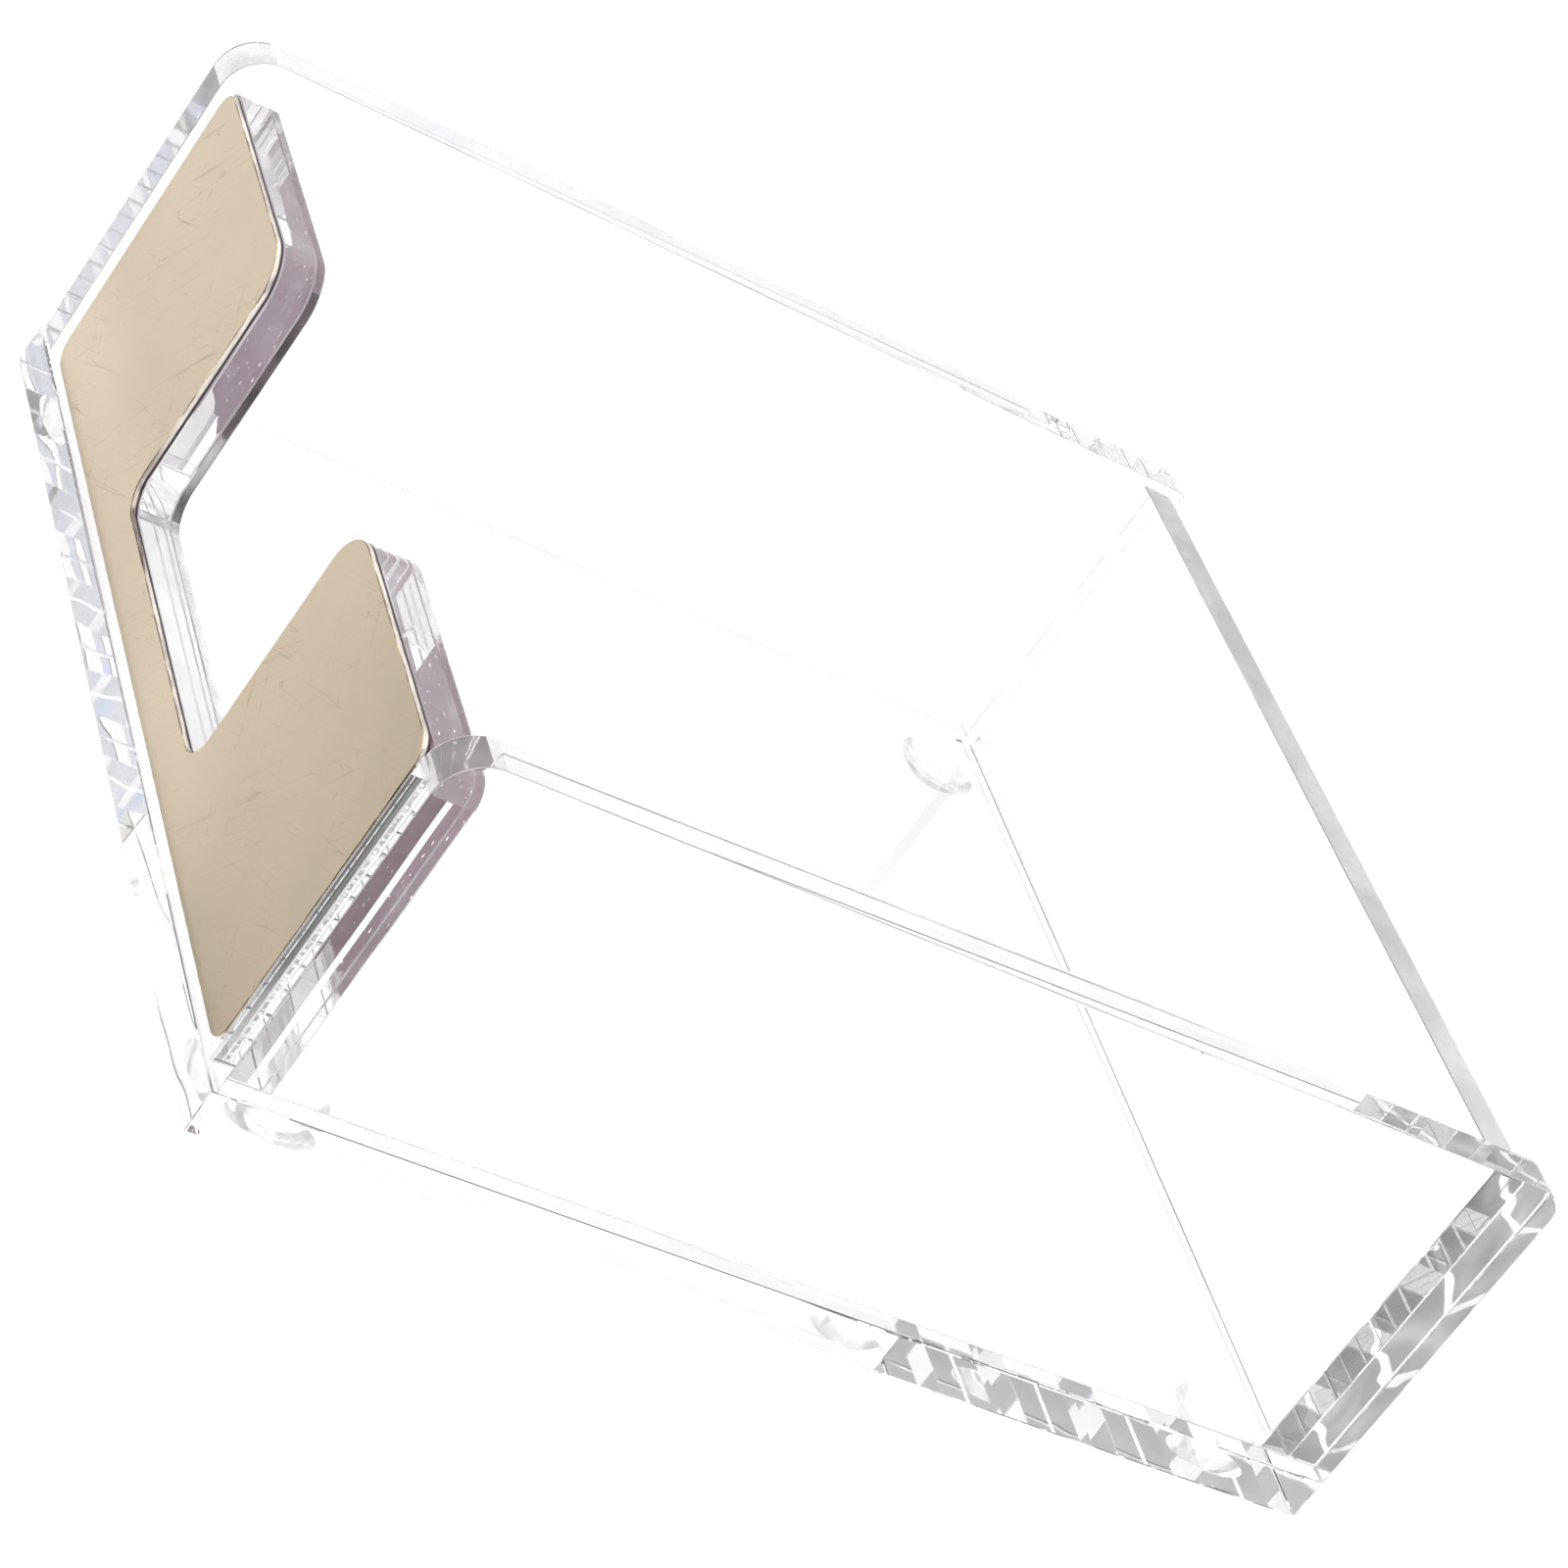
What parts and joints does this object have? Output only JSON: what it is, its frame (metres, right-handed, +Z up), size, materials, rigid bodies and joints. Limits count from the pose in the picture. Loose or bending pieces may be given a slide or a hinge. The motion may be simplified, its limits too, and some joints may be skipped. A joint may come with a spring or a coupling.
{
  "type": "card tray",
  "caption": "Open-top clear card tray on domed bumper feet, with rounded side walls and a satin metal face plate around a finger notch.",
  "frame": {"origin": "on the table plane that the four feet rest on, halfway across the tray's width and its depth", "axes": "+X to the right wall and -Y out through the metal face, as seen by someone who faces it; +Z up out of the open top"},
  "size_m": [0.13, 0.131, 0.048],
  "materials": {
    "clear_acrylic": "water-clear cast acrylic sheet, polished faces and edges",
    "mauve_adhesive": "thin mauve adhesive film",
    "champagne_gold": "satin champagne gold sheet metal with fine hairline scratches",
    "clear_bumper": "soft clear polyurethane bumper, glossy dome"
  },
  "bodies": {
    "root": {"bottom_plate": "clear_acrylic", "left_wall": "clear_acrylic", "right_wall": "clear_acrylic", "back_plate": "clear_acrylic", "front_plate": "clear_acrylic", "adhesive_film": "mauve_adhesive", "face_plate": "champagne_gold", "foot_front_left": "clear_bumper", "foot_front_right": "clear_bumper", "foot_rear_left": "clear_bumper", "foot_rear_right": "clear_bumper"}
  },
  "joints": []
}
